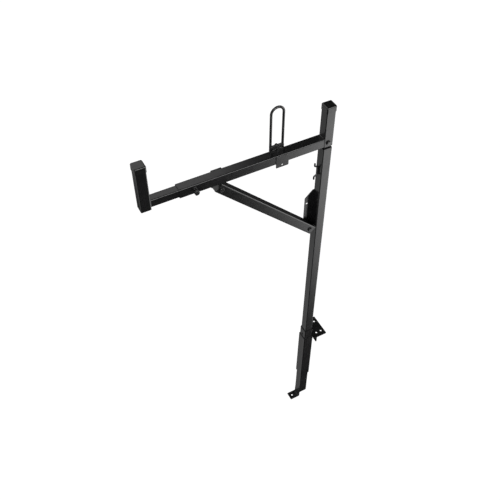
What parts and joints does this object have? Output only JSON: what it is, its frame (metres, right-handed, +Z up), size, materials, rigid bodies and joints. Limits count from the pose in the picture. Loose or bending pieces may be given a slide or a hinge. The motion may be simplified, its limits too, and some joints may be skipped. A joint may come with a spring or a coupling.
{
  "type": "truck ladder rack upright",
  "caption": "Black square-tube ladder rack upright: telescoping post with rail bracket and foot, braced extending arm with stop posts, tie hoop and rope cleat.",
  "frame": {"origin": "centre of the rail bolt pattern, on the underside of the rail plate that rests on the bed rail", "axes": "+Z up, +X outboard from the bed, the arm reaches towards -X, +Y along the truck with the ears and hoop on the +Y side"},
  "size_m": [0.8269, 0.1154, 1.9495],
  "materials": {
    "black_powder_coat": "semi-gloss black powder coat",
    "black_hardware": "black zinc plated steel",
    "matte_black_primer": "matte black primer on the hidden joining tube",
    "black_cap_plastic": "moulded black plastic, fine grain"
  },
  "bodies": {
    "bracket": {"rail_sleeve": "black_powder_coat", "rail_plate": "black_powder_coat", "rail_flange": "black_powder_coat", "leg_lock_nut": "black_powder_coat"},
    "leg": {"leg_tube": "black_powder_coat", "foot_strap": "black_powder_coat", "post_lock_nut": "black_powder_coat"},
    "arm_slide": {"arm_inner_tube": "black_powder_coat", "end_post": "black_powder_coat", "end_post_cap": "black_cap_plastic"},
    "arm_screw": {"arm_lock_screw": "black_hardware"},
    "post_screw": {"post_lock_screw": "black_hardware"},
    "leg_screw": {"leg_lock_screw": "black_hardware"},
    "post": {"arm_ear": "black_powder_coat", "arm_lock_nut": "black_powder_coat", "arm_tube": "black_powder_coat", "bolt_nuts": "black_hardware", "bolt_washers": "black_hardware", "brace_bolts": "black_hardware", "brace_plugs": "black_cap_plastic", "brace_tube": "black_powder_coat", "hoop_bolt": "black_hardware", "hoop_cross_plate": "black_powder_coat", "hoop_ear": "black_powder_coat", "hoop_nut": "black_hardware", "hoop_rod": "black_powder_coat", "main_post": "black_powder_coat", "outer_stop_cap": "black_cap_plastic", "outer_stop_post": "black_powder_coat", "post_ear": "black_powder_coat", "post_insert": "matte_black_primer", "rope_cleat": "black_powder_coat", "stop_post_bolt": "black_hardware", "tie_tab": "black_powder_coat"}
  },
  "joints": [
    {"name": "leg_slide", "type": "slide", "parent": "bracket", "child": "leg", "axis": [0, 0, 1], "range_m": [-0.012, 0.09]},
    {"name": "post_slide", "type": "slide", "parent": "leg", "child": "post", "axis": [0, 0, 1], "range_m": [-0.25, 0.15]},
    {"name": "arm_extend", "type": "slide", "parent": "post", "child": "arm_slide", "axis": [-1, 0, 0], "range_m": [-0.1, 0.1]},
    {"name": "arm_screw_turn", "type": "hinge", "parent": "post", "child": "arm_screw", "pos_m": [-0.59855, -0.04605, 1.21895], "axis": [0, 1, 0], "continuous": true},
    {"name": "post_screw_turn", "type": "hinge", "parent": "leg", "child": "post_screw", "pos_m": [-0.0635, 0.013, 0.028], "axis": [0, 1, 0], "continuous": true},
    {"name": "leg_screw_turn", "type": "hinge", "parent": "bracket", "child": "leg_screw", "pos_m": [-0.0635, 0.013, -0.1], "axis": [0, 1, 0], "continuous": true}
  ]
}
